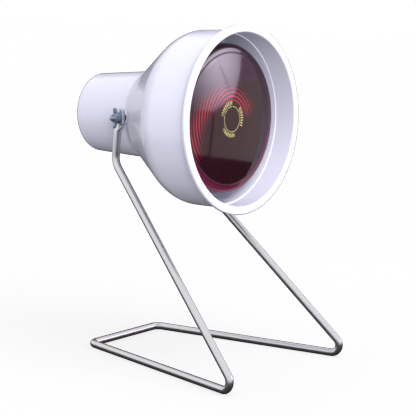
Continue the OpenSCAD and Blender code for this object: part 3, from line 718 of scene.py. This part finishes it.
class HEATLAMP_OT_stand(bpy.types.Operator):
    """Rod carried along a path of straights and bends, with its ends pressed flat into eyes"""

    bl_idname = "heat_lamp.stand"
    bl_label = "Stand"

    def path(self, s, eye_x):
        """Centre line of the left half: eye, knee, front corner, rear corner and the middle of the rear bar.
        The bends are arcs tangent to both straights."""
        step, taper_cuts = 4 * MM, 14
        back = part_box("stand_frame")[1].y - s.rod / 2
        floor = s.rod / 2
        taper_low = PIVOT[2] - s.eye_drop - s.eye_taper
        lean = s.knee_back / (PIVOT[2] - s.knee_height)
        corners = [
            (-eye_x, lean * s.eye_drop, PIVOT[2] - s.eye_drop, 0),
            (-eye_x, lean * (PIVOT[2] - taper_low), taper_low, 0),
            (-eye_x + s.knee_inset, s.knee_back, s.knee_height, s.knee_radius),
            (-s.front_span / 2, -s.front_reach, floor, s.corner_radius),
            (-s.rear_span / 2, back, floor, s.corner_radius),
            (0, back, floor, 0),
        ]
        parts = []
        for index, corner in enumerate(corners):
            here, radius = np.array(corner[:3]), corner[3]
            if radius == 0:
                parts.append(here[None])
                continue
            before = unit(np.array(corners[index - 1][:3]) - here)
            after = unit(np.array(corners[index + 1][:3]) - here)
            parts.append(bend(here, before, after, radius, 16))
        points = np.concatenate(parts)
        starts, ends = points[:-1], points[1:]
        cuts = cuts_of(starts, ends, step)
        in_taper = starts[:, 2] > taper_low - 1 * MM
        cuts = np.where(in_taper, np.maximum(cuts, taper_cuts), cuts)
        return np.concatenate([divided(starts, ends, cuts), points[-1:]])

    def rod(self, s, eye_x, eye_t, columns=32):
        """Grid of the left half. Its section is |x/a|^n + |y/b|^n = 1, and goes down the taper from the flat
        eye (n 10), inside which it starts, to the round rod (n 2)."""
        flat_power, round_power, inside, overlap = 10, 2, 0.01 * MM, 0.5 * MM
        line = self.path(s, eye_x)
        way = np.gradient(line, axis=0)
        way /= np.linalg.norm(way, axis=1)[:, None]
        rings = [np.broadcast_to(line[0] + np.array([0, 0, overlap]), (columns, 3))]
        normal = SIDEWAYS.copy()
        previous = np.array([0.0, 0.0, -1.0])
        angles = (np.arange(columns) + 0.5) / columns * TURNS
        cosine, sine = np.cos(angles), np.sin(angles)
        for centre, tangent in zip(line, way):
            axis = np.cross(previous, tangent)
            turning = np.linalg.norm(axis)
            if turning > 1e-9:
                turn = Matrix.Rotation(math.asin(min(1, turning)), 3, Vector(axis / turning))
                normal = np.array(turn @ Vector(normal))
            normal = unit(normal - tangent * (normal @ tangent))
            previous = tangent
            share = np.clip((PIVOT[2] - s.eye_drop - centre[2]) / s.eye_taper, 0, 1)
            share = share * share * (3 - 2 * share)
            half_thick = (1 - share) * (eye_t / 2 - inside) + share * s.rod / 2
            half_wide = (1 - share) * (s.eye_width / 2 - inside) + share * s.rod / 2
            power = 2 / ((1 - share) * flat_power + share * round_power)
            u = np.sign(cosine) * np.abs(cosine) ** power * half_thick
            v = np.sign(sine) * np.abs(sine) ** power * half_wide
            rings.append(centre + u[:, None] * normal + v[:, None] * np.cross(tangent, normal))
        return np.array(rings)

    def eye(self, s, eye_x, eye_t, top):
        """Flat eye of the left side: for each point of its outline, a section from the hole's wall to the
        outline and back, with rounded edges."""
        hole, width, half_t = s.eye_hole / 2, s.eye_width / 2, eye_t / 2
        low, corner, inner, outer = -s.eye_drop, s.eye_corner, 0.2 * MM, 0.45 * MM
        corners = [(-width, low, 0), (width, low, 0), (width, top, corner), (-width, top, corner)]
        outline = finely(rounded(corners, steps=12), 0.6 * MM)
        reach = np.linalg.norm(outline, axis=1)[:, None]
        heading = outline / reach
        rim = [(0, -half_t, inner), (1, -half_t, outer), (1, half_t, outer), (0, half_t, inner)]
        section = rounded(rim, steps=5, guard=0.1 * MM)
        near_rim = section[:, 0] > 0.5
        from_hole = np.where(near_rim[None], reach - 1 + section[:, 0][None], hole + section[:, 0][None])
        across = np.broadcast_to(section[:, 1][None], from_hole.shape)
        up = from_hole * heading[:, 1:] + PIVOT[2]
        return np.stack([across - eye_x, from_hole * heading[:, :1], up], -1)

    def execute(self, context):
        s = context.scene.heat_lamp_stand
        eye_in, eye_out = half_width("friction_washer_right"), inner_width("plain_washer_right")
        eye_x, eye_t = (eye_in + eye_out) / 2, eye_out - eye_in
        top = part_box("stand_frame")[1].z - PIVOT[2]
        rod = self.rod(s, eye_x, eye_t)
        eye = self.eye(s, eye_x, eye_t, top)
        mirror = np.array([-1.0, 1.0, 1.0])
        rods = [grid(half, wrap_rows=False) for half in (rod, rod * mirror)]
        grids = [*rods, grid(eye), grid(eye * mirror)]
        piece("stand", mesh_of("stand", grids, 50), "stand", "plated_rod", bright_rod(s), "stand_frame")
        return {"FINISHED"}


class HEATLAMP_OT_pivots(bpy.types.Operator):
    """Threaded bolts, washers and wing nuts on both sides"""

    bl_idname = "heat_lamp.pivots"
    bl_label = "Pivots"

    def bolt(self, s, start, end, columns=40):
        """Threaded shank: its radius falls and rises by 0.55 of the pitch along a helix with flattened
        crests, and fades out in the chamfers at its ends."""
        root, head_chamfer, end_chamfer = 0.55 * s.pitch, 0.3 * MM, 0.6 * MM
        z = np.linspace(start, end, int((end - start) / s.pitch * 10))[:, None]
        angle = (np.arange(columns) / columns * TURNS)[None]
        wave = np.abs(((z / s.pitch - angle / TURNS) % 1) * 2 - 1)
        crest = np.clip(wave * 1.25 - 0.12, 0, 1)
        major = s.bolt / 2
        radius = major - root * (1 - crest)
        radius = np.minimum(radius, major - np.clip(z - (end - end_chamfer), 0, None))
        radius = np.minimum(radius, major - np.clip(start + head_chamfer - z, 0, None))
        ring = np.stack([radius * np.cos(angle), radius * np.sin(angle), z + 0 * angle], -1)
        low, high = (np.broadcast_to(np.array([0, 0, place]), (1, columns, 3)) for place in (start, end))
        return np.concatenate([low, ring, high])

    def hexagon(self, across_flats, start, end):
        """Hexagon head. At its outer end its corners are turned off to 1.02 of the width across its flats."""
        angle = np.arange(60) / 60 * TURNS
        full = across_flats / 2 / np.cos((angle + math.pi / 6) % (math.pi / 3) - math.pi / 6)
        trimmed = np.minimum(full, across_flats / 2 * 1.02)
        rows = [
            (0 * full, start),
            (trimmed, start),
            (trimmed, start + 0.25 * MM),
            (full, start + 0.6 * MM),
            (full, end),
            (0 * full, end),
        ]
        return np.array([np.stack([r * np.cos(angle), r * np.sin(angle), 0 * r + z], -1) for r, z in rows])

    def washer(self, inner, outer, start, end):
        """Flat ring with softened edges."""
        soft = min(0.15 * MM, (end - start) / 4)
        corners = [(inner, start, soft), (outer, start, soft), (outer, end, soft), (inner, end, soft)]
        return turned(rounded(corners, 4, 0.03 * MM), 96)

    def nut_body(self, s, base):
        """Turned body of a wing nut, narrower at its top."""
        radius, bore, top = s.nut_width / 2, s.bolt / 2 + 0.1 * MM, base + s.nut_height
        corners = [
            (bore, base, 0.3 * MM),
            (radius, base, 0.3 * MM),
            (radius - 0.8 * MM, top, 0.7 * MM),
            (bore, top, 0.5 * MM),
        ]
        return turned(rounded(corners, 6), 72)

    def wing(self, base, span, columns=32):
        """One wing of a nut. At share f of its length its centre is 1.3 f^1.6 mm above its root, and its
        section is an oval that swells by sin(pi f), thins outward, and closes to a round tip."""
        root, root_rise, climb, tip_gap, tip = 2.75 * MM, 2.7 * MM, 1.3 * MM, 0.05 * MM, 0.72
        share = np.linspace(0, 1, 25)[:, None]
        out = root + (span / 2 - root - tip_gap) * share
        rise = base + root_rise + climb * share**1.6
        lobe = np.sqrt(np.clip(1 - (np.clip(share - tip, 0, None) / (1 - tip)) ** 2, 0, 1))
        half_rise = (1.75 + 0.35 * np.sin(share * math.pi)) * MM * lobe
        half_thick = (1.25 - 0.35 * share) * MM * np.sqrt(lobe)
        angle = (np.arange(columns) / columns * TURNS)[None]
        cosine, sine, power = np.cos(angle), np.sin(angle), 0.8
        lift = rise + np.sign(cosine) * np.abs(cosine) ** power * half_rise
        thick = np.sign(sine) * np.abs(sine) ** power * half_thick
        wing = np.stack([thick, out + 0 * angle, lift], -1)
        root_pole = np.broadcast_to(wing[:1].mean(axis=1, keepdims=True), (1, columns, 3))
        return np.concatenate([root_pole, wing])

    def nut(self, s, name, zinc, placed):
        """Wing nut of one side: its body and two wings, merged into one skin."""
        base = inner_width("wing_nut_right")
        low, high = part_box("wing_nut_right")
        wing = self.wing(base, max(high.y - low.y, high.z - low.z))
        wings = (wing, wing * np.array([1, -1, 1]))
        grids = [grid(placed(self.nut_body(s, base))), *(grid(placed(w), wrap_rows=False) for w in wings)]
        mesh = mesh_of("nut", grids)
        nut = piece(f"nut_{name}", mesh, f"nut_{name}", "zinc_steel", zinc, f"wing_nut_{name}")
        skin = nut.modifiers.new("skin", "REMESH")
        skin.mode = "VOXEL"
        skin.voxel_size = 0.16 * MM
        skin.use_smooth_shade = True
        smooth = nut.modifiers.new("soften", "SMOOTH")
        smooth.factor = 0.5
        smooth.iterations = 4
        bake_modifiers(nut)
        nut.data.shade_smooth()

    def execute(self, context):
        s = context.scene.heat_lamp_pivots
        zinc, rubber = blue_zinc(s), black_rubber(context.scene.heat_lamp_rubber)
        thread_end, head_start = half_width("pivot_bolt_right"), inner_width("pivot_bolt_right")
        head_end = half_width("holder_bracket") - 1.5 * MM
        for side, name in ((-1, "left"), (1, "right")):

            def placed(points):
                return along_x(points, side) + PIVOT

            shank = grid(placed(self.bolt(s, head_end, thread_end)), wrap_rows=False)
            head = grid(placed(self.hexagon(s.hexagon, head_start, head_end)), wrap_rows=False)
            mesh = mesh_of("bolt", [shank, head], 50)
            piece(f"bolt_{name}", mesh, "head", "zinc_steel", zinc, f"pivot_bolt_{name}")
            for kind, body, slot, material, width in (
                ("friction_washer", "head", "bush_rubber", rubber, s.friction_width),
                ("plain_washer", f"washer_{name}", "zinc_steel", zinc, s.plain_width),
            ):
                inner, outer = inner_width(f"{kind}_right"), half_width(f"{kind}_right")
                ring = grid(placed(self.washer(s.washer_hole / 2, width / 2, inner, outer)))
                piece(f"{kind}_ring_{name}", mesh_of(kind, [ring]), body, slot, material, f"{kind}_{name}")
            self.nut(s, name, zinc, placed)
        return {"FINISHED"}


class HEATLAMP_OT_lamp(bpy.types.Operator):
    """Ruby face with its moulded rings. The silvered bowl, screw cap, filament and posts keep their CAD
    surfaces.
    """

    bl_idname = "heat_lamp.lamp"
    bl_label = "Lamp"

    def execute(self, context):
        s = context.scene.heat_lamp_lamp
        margin, ripple_step = 1 * MM, 0.2 * MM
        crown, rim = on_axis("lamp_lens", 1), half_width("lamp_lens")
        seam = crown - s.crown - s.edge
        curve = (rim**2 + s.dome**2) / (2 * s.dome)
        shoulder = s.crown - s.dome

        def face(r):
            """Height of the dome, a cap of a sphere, at radius r."""
            return crown - curve + np.sqrt(curve**2 - r**2)

        dome_end, inner_end = rim - shoulder - margin, rim - s.glass - margin
        near, past = s.bead_radius - 3 * s.bead_width, s.bead_radius + 3 * s.bead_width
        plain, beaded = np.linspace(0, near, 50)[:-1], np.linspace(near, past, 33)
        outer_r = np.concatenate([plain, beaded, [(past + dome_end) / 2]])
        bead = s.bead_height * np.exp(-(((outer_r - s.bead_radius) / s.bead_width) ** 2))
        inner_r = np.arange(inner_end - margin, 0, -ripple_step)
        phase = (inner_r - s.ring_start) / s.ring_pitch
        on_ring = (phase > 0) & (phase < s.ring_count)
        ripple = np.where(on_ring, s.ring_height * (1 - np.cos(phase * TURNS)) / 2, 0)
        corner = rounded([(dome_end, face(dome_end), 0), (rim, face(rim), shoulder), (rim, seam, 0)], 16)
        outline = np.concatenate(
            [
                np.stack([outer_r, face(outer_r) + bead], -1),
                corner,
                [[inner_end, seam]],
                np.stack([inner_r, face(inner_r) - s.glass - ripple], -1),
                [[0, crown - s.glass]],
            ]
        )
        mesh = mesh_of("face", [grid(on_head(turned(outline, 192)), wrap_rows=False)], 60)
        piece("ruby_face", mesh, "lamp", "ruby_glass", ruby_glass(s), "lamp_lens")
        return {"FINISHED"}


class HEATLAMP_OT_inner_pieces(bpy.types.Operator):
    """Finishes of the pieces that keep their CAD surfaces"""

    bl_idname = "heat_lamp.inner_pieces"
    bl_label = "Inner pieces"

    def execute(self, context):
        scene = context.scene
        zinc, brass = blue_zinc(scene.heat_lamp_pivots), yellow_brass()
        nickel = soft_metal("dull_solder", (0.40, 0.40, 0.41), (0.62, 0.62, 0.62), 0.4)
        finishes = {
            "rear_cover": moulded_white(scene.heat_lamp_housing),
            "cover_screws": zinc,
            "cable_bush": black_rubber(scene.heat_lamp_rubber),
            "holder_bracket": zinc,
            "bracket_screws": zinc,
            "lampholder_body": white_porcelain(),
            "lampholder_sleeve": brass,
            "centre_contact": brass,
            "terminal_plates": brass,
            "terminal_screws": brass,
            "lamp_reflector": silvered_glass(),
            "lamp_cap": brass,
            "cap_insulator": black_glass(),
            "cap_contact": nickel,
            "filament": soft_metal("drawn_tungsten", (0.10, 0.10, 0.11), (0.22, 0.22, 0.23), 0.5),
            "filament_posts": nickel,
        }
        for node, material in finishes.items():
            thing = frame["nodes"][node]
            thing.data.materials.clear()
            thing.data.materials.append(material)
        return {"FINISHED"}


class HEATLAMP_OT_studio(bpy.types.Operator):
    """White floor, soft lights and the camera at the photograph's angle"""

    bl_idname = "heat_lamp.studio"
    bl_label = "Studio"

    def camera(self, s):
        """Camera on a sphere round its target, rolled about its line of sight."""
        level = math.cos(s.elevation)
        back = Vector((math.sin(s.azimuth) * level, -math.cos(s.azimuth) * level, math.sin(s.elevation)))
        right = Vector((0, 0, 1)).cross(back).normalized()
        up = back.cross(right)
        across = right * math.cos(s.roll) + up * math.sin(s.roll)
        upward = up * math.cos(s.roll) - right * math.sin(s.roll)
        data = bpy.data.cameras.new("camera")
        data.lens, data.sensor_width = s.lens, 36
        data.clip_start, data.clip_end = 0.05, 50
        camera = bpy.data.objects.new("camera", data)
        bpy.context.scene.collection.objects.link(camera)
        turned_to = Matrix((across, upward, back)).transposed().to_4x4()
        camera.matrix_world = Matrix.Translation(Vector(s.target) + back * s.distance) @ turned_to
        bpy.context.scene.camera = camera

    def spot(self, azimuth, height, distance):
        """Point at a bearing round the lamp, at a height over the floor and a distance from the tilt axis."""
        angle = math.radians(azimuth)
        return Vector((math.sin(angle) * distance, -math.cos(angle) * distance, height))

    def softbox(self, name, place, size, power, colour):
        """Area light that faces the lamp's head and that the camera doesn't see."""
        data = bpy.data.lights.new(name, "AREA")
        data.shape, data.size, data.size_y = "RECTANGLE", size[0], size[1]
        data.energy, data.color = power, colour
        light = bpy.data.objects.new(name, data)
        bpy.context.scene.collection.objects.link(light)
        turned_to = (Vector(PIVOT) - place).to_track_quat("-Z", "Y").to_matrix().to_4x4()
        light.matrix_world = Matrix.Translation(place) @ turned_to
        light.visible_camera = False
        return light

    def card(self, name, corners, tone, bright=None, spread=0.25):
        """Flat studio card that shows only in reflections, in a tone with faint clouds. Around its bright
        point, if it has one, it fades to almost nothing over the spread."""
        mesh = bpy.data.meshes.new(name)
        mesh.from_pydata(corners, [], [range(len(corners))])
        card = bpy.data.objects.new(name, mesh)
        bpy.context.scene.collection.objects.link(card)
        finish = Finish(name).set(Base_Color=(0, 0, 0, 1), Roughness=1.0, Emission_Strength=1.0)
        finish.set(Specular_IOR_Level=0.0)
        clouds = finish.mix(finish.noise(0.3, 2), tone, tinted(tone, 0.85))
        if bright:
            apart = finish.node("VectorMath", i0=finish.place, i1=bright)
            apart.operation = "DISTANCE"
            clouds = finish.mix(finish.fades(apart.outputs["Value"], spread), tinted(tone, 0.06), clouds)
        finish.link(clouds, "Emission Color")
        mesh.materials.append(finish.material)
        for kind in ("camera", "diffuse", "transmission", "shadow", "volume_scatter"):
            setattr(card, "visible_" + kind, False)

    def upright(self, azimuth, distance, outline):
        """Corners of an upright card at a bearing and a distance, from (sideways, height) pairs."""
        angle = math.radians(azimuth)
        middle, side = self.spot(azimuth, 0, distance), Vector((math.cos(angle), math.sin(angle), 0))
        return [tuple(middle + side * across + Vector((0, 0, height))) for across, height in outline]

    def world(self, s):
        """White behind the lamp and in its reflections; a dimmer even light from all round."""
        world = bpy.data.worlds.new("studio")
        bpy.context.scene.world = world
        world.use_nodes = True
        tree = world.node_tree
        background = tree.nodes["Background"]
        path = tree.nodes.new("ShaderNodeLightPath")
        seen = path.outputs["Is Camera Ray"]
        for kind in ("Is Glossy Ray", "Is Transmission Ray"):
            larger = tree.nodes.new("ShaderNodeMath")
            larger.operation = "MAXIMUM"
            tree.links.new(seen, larger.inputs[0])
            tree.links.new(path.outputs[kind], larger.inputs[1])
            seen = larger.outputs[0]
        strength = tree.nodes.new("ShaderNodeMapRange")
        strength.inputs["To Min"].default_value = s.ambient
        strength.inputs["To Max"].default_value = 1.0
        tree.links.new(seen, strength.inputs["Value"])
        tree.links.new(strength.outputs[0], background.inputs["Strength"])
        background.inputs["Color"].default_value = (1, 1, 1, 1)

    def floor(self):
        """Wide square floor that shows only the shadow which falls on it, with an even light of its own."""
        half = 6.0
        corners = [(-half, -half, 0), (half, -half, 0), (half, half, 0), (-half, half, 0)]
        mesh = bpy.data.meshes.new("floor")
        mesh.from_pydata(corners, [], [(0, 1, 2, 3)])
        floor = bpy.data.objects.new("floor", mesh)
        bpy.context.scene.collection.objects.link(floor)
        finish = Finish("pale_floor").set(Roughness=0.9)
        finish.tone(finish.noise(0.4, 3), (0.80, 0.80, 0.81), (0.83, 0.83, 0.84))
        mesh.materials.append(finish.material)
        floor.is_shadow_catcher = True
        floor.visible_diffuse = False
        floor.visible_glossy = False
        only_floor = bpy.data.collections.new("floor_only")
        only_floor.objects.link(floor)
        light = self.softbox("floor_light", Vector((0, 0, 2.5)), (3, 3), 450, (1, 1, 1))
        light.data.use_shadow = False
        light.light_linking.receiver_collection = only_floor

    def lights(self):
        """Soft sources in front, overhead and behind, each with its bearing in degrees, its height, distance
        and size in metres, its watts and its colour. The gloss doesn't show them."""
        for name, bearing, height, distance, size, power, colour in (
            ("front_right", 46.5, 0.50, 1.2, (0.70, 0.55), 1.2, (1.0, 0.98, 1.0)),
            ("overhead", 0, 1.13, 0.93, (1.0, 1.0), 14.5, (1.0, 0.99, 0.98)),
            ("front_left", -45, 0.62, 1.5, (0.8, 0.8), 13.5, (1.0, 1.0, 1.0)),
            ("front_low", -15, 0.15, 1.2, (0.7, 0.4), 4.0, (1.0, 0.98, 1.0)),
            ("rear_right", 150, 0.9, 1.2, (0.8, 0.8), 5.0, (1.0, 1.0, 1.0)),
            ("rear_left", -122, 0.75, 1.3, (0.8, 0.8), 4.5, (0.97, 0.98, 1.0)),
        ):
            light = self.softbox(name, self.spot(bearing, height, distance), size, power, colour)
            light.visible_glossy = False

    def cards(self):
        """What the gloss shows: an umbrella with its rim and a rib, a brown wall, a mauve backdrop and a thin
        pole on the right, a dark table and floor below, and a black flag behind. An upright card has its
        bearing in degrees, its distance, its outline as (sideways, height) pairs in metres, and its tone."""
        umbrella = [(0.082, 0.35), (0.064, 0.30), (0.01, 0.213), (-0.13, 0.171), (-0.26, 0.18)]
        umbrella += [(-0.34, 0.30), (-0.34, 0.50), (-0.22, 0.62), (-0.02, 0.62), (0.082, 0.50)]
        bright = self.upright(50, 1.3, [(-0.08, 0.37)])[0]
        self.card("umbrella", self.upright(50, 1.3, umbrella), (8.0, 7.0, 8.8), bright, 0.17)
        rim = [(-0.19, 0.335), (-0.09, 0.359), (-0.09, 0.370), (-0.19, 0.347)]
        rib = [(-0.077, 0.336), (-0.018, 0.232), (-0.012, 0.232), (-0.071, 0.336)]
        wall = [(-0.6, -0.4), (0.9, -0.4), (0.9, 0.272), (-0.6, 0.272)]
        backdrop = [(0.06, 0.265), (0.27, 0.265), (0.27, 0.43), (0.06, 0.43)]
        pole = [(-0.160, -0.01), (-0.147, -0.01), (-0.127, 0.165), (-0.139, 0.165)]
        flag = [(-0.8, -0.4), (0.8, -0.4), (0.8, 1.2), (-0.8, 1.2)]
        for name, bearing, distance, outline, tone in (
            ("umbrella_rim", 50, 1.29, rim, (11.0, 10.0, 11.0)),
            ("umbrella_rib", 50, 1.28, rib, (1.6, 1.3, 1.8)),
            ("brown_wall", 55, 1.7, wall, (0.80, 0.71, 0.70)),
            ("mauve_backdrop", 50, 1.31, backdrop, (0.95, 0.66, 1.05)),
            ("thin_pole", 50, 1.29, pole, (0.01, 0.01, 0.01)),
            ("black_flag", 130, 1.6, flag, (0.05, 0.05, 0.06)),
        ):
            self.card(name, self.upright(bearing, distance, outline), tone)
        below = -0.5 * MM
        table = [(-0.45, -1.3), (0.85, -1.3), (0.95, -0.5), (0.95, 0.6), (-0.45, 0.6)]
        self.card("dark_table", [(x, y, below) for x, y in table], (0.04, 0.038, 0.036))
        bearings, near, far, just_below = range(-80, -23, 14), 0.85, 1.35, -0.4 * MM
        edge = [(bearing, near) for bearing in bearings] + [(bearing, far) for bearing in reversed(bearings)]
        patch = [tuple(self.spot(bearing, just_below, distance)) for bearing, distance in edge]
        self.card("dark_floor", patch, (0.03, 0.02, 0.025))

    def execute(self, context):
        s = context.scene.heat_lamp_studio
        self.camera(s)
        self.world(s)
        self.floor()
        self.lights()
        self.cards()
        settings = context.scene.view_settings
        settings.view_transform = "Standard"
        return {"FINISHED"}


class HEATLAMP_PT_panel(bpy.types.Panel):
    """Sizes and colours of the heat lamp, and what builds it"""

    bl_label = "Heat Lamp"
    bl_idname = "HEATLAMP_PT_panel"
    bl_space_type = "VIEW_3D"
    bl_region_type = "UI"
    bl_category = "Heat Lamp"

    def draw(self, context):
        for group in GROUPS:
            box = self.layout.box()
            box.label(text=group.removeprefix("heat_lamp_").capitalize())
            settings = getattr(context.scene, group)
            for name in settings.bl_rna.properties.keys():
                if name not in ("rna_type", "name"):
                    box.prop(settings, name)
        for operator in OPERATORS:
            self.layout.operator(operator.bl_idname)


OPERATORS = (
    HEATLAMP_OT_studio,
    HEATLAMP_OT_housing,
    HEATLAMP_OT_stand,
    HEATLAMP_OT_pivots,
    HEATLAMP_OT_lamp,
    HEATLAMP_OT_inner_pieces,
)


def register():
    """Makes the settings, operators and panel known."""
    for group, kind in GROUPS.items():
        bpy.utils.register_class(kind)
        setattr(bpy.types.Scene, group, PointerProperty(type=kind))
    for operator in OPERATORS:
        bpy.utils.register_class(operator)
    bpy.utils.register_class(HEATLAMP_PT_panel)


def unregister():
    """Takes them away again."""
    bpy.utils.unregister_class(HEATLAMP_PT_panel)
    for operator in reversed(OPERATORS):
        bpy.utils.unregister_class(operator)
    for group, kind in reversed(GROUPS.items()):
        delattr(bpy.types.Scene, group)
        bpy.utils.unregister_class(kind)


def main():
    """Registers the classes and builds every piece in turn."""
    register()
    bpy.ops.heat_lamp.studio()
    bpy.ops.heat_lamp.housing()
    bpy.ops.heat_lamp.stand()
    bpy.ops.heat_lamp.pivots()
    bpy.ops.heat_lamp.lamp()
    bpy.ops.heat_lamp.inner_pieces()


if __name__ == "__main__":
    main()
